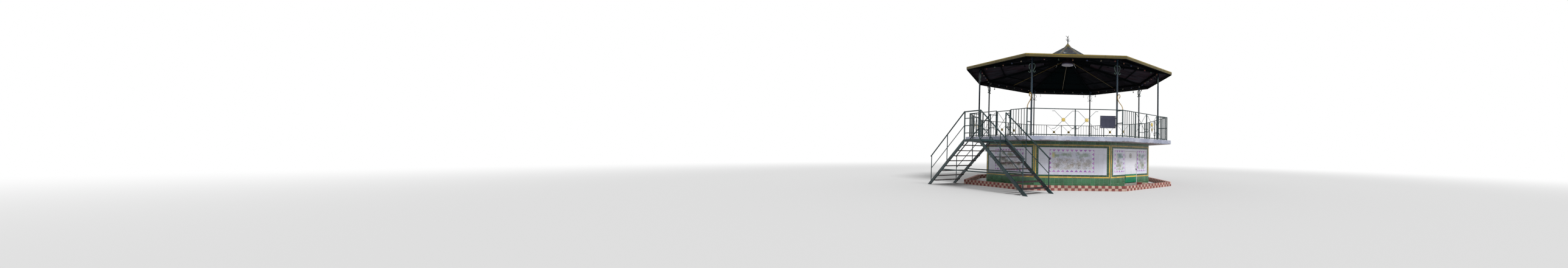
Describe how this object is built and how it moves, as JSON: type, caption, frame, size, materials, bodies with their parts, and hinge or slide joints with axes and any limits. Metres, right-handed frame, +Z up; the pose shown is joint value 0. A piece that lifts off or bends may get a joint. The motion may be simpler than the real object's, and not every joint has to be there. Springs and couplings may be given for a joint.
{
  "type": "bandstand",
  "caption": "Eight-sided bandstand: tiled hollow podium with a door, railed deck, slim posts under a broken-pitch sheet roof, and a double stair to a gate.",
  "frame": {"origin": "on the ground under the roof's apex, at the middle of the podium floor's underside", "axes": "+Z up; -Y out of the front podium face; +X to the right as seen from the front"},
  "size_m": [9.3722, 9.853, 6.4004],
  "materials": {
    "wall_tile": "glossy tile",
    "floor_concrete": "matte",
    "slab_concrete": "weathered whitewash",
    "kerb_block": "matte, painted",
    "red_block": "matte",
    "pale_steel": "satin",
    "door_paint": "gloss",
    "green_paint": "semi-gloss",
    "mustard_paint": "satin",
    "dark_steel": "matte",
    "roof_sheet": "weathered",
    "lamp_glass": "satin",
    "bulb_glass": "glossy",
    "grey_board": "matte",
    "worn_tread": "worn"
  },
  "bodies": {
    "stand": {"podium_floor": "floor_concrete", "podium_walls": "wall_tile", "wall_beside_door_left": "wall_tile", "wall_beside_door_right": "wall_tile", "wall_over_door": "wall_tile", "door_frame": "pale_steel", "block_edging": "red_block", "deck_slab": "slab_concrete", "planter_kerb": "kerb_block", "roof_posts": "green_paint", "railing_front": "green_paint", "railing_right_front": "green_paint", "railing_right": "green_paint", "railing_rear_right": "green_paint", "railing_rear": "green_paint", "railing_rear_left": "green_paint", "railing_left": "green_paint", "railing_left_front": "green_paint", "rail_links": "green_paint", "post_top_scrolls": "green_paint", "beam_scrolls": "green_paint", "corner_scrolls": "mustard_paint", "ring_beams": "green_paint", "hip_rafters": "dark_steel", "purlins": "dark_steel", "roof_drum": "dark_steel", "lamp": "lamp_glass", "roof_sheets": "roof_sheet", "cap_sheets": "roof_sheet", "cap_upstand": "roof_sheet", "hip_flashings": "mustard_paint", "fascia": "mustard_paint", "eave_frame": "dark_steel", "apex_cap": "mustard_paint", "finial": "dark_steel", "conduits": "mustard_paint", "eave_bulbs": "bulb_glass", "notice_board": "grey_board", "stair_landing": "green_paint", "landing_rails": "green_paint", "stair_sides": "green_paint", "stair_treads": "worn_tread", "stair_ties": "green_paint"},
    "door": {"door_leaf": "door_paint"},
    "gate": {"gate_leaf": "green_paint"}
  },
  "joints": [
    {"name": "podium_door_hinge", "type": "hinge", "parent": "stand", "child": "door", "pos_m": [2.01496, -2.57498, 0.6], "axis": [0, 0, -1], "range_deg": [0, 110]},
    {"name": "gate_hinge", "type": "hinge", "parent": "stand", "child": "gate", "pos_m": [-2.71903, -2.76853, 2.2], "axis": [0, 0, 1], "range_deg": [0, 100]}
  ]
}
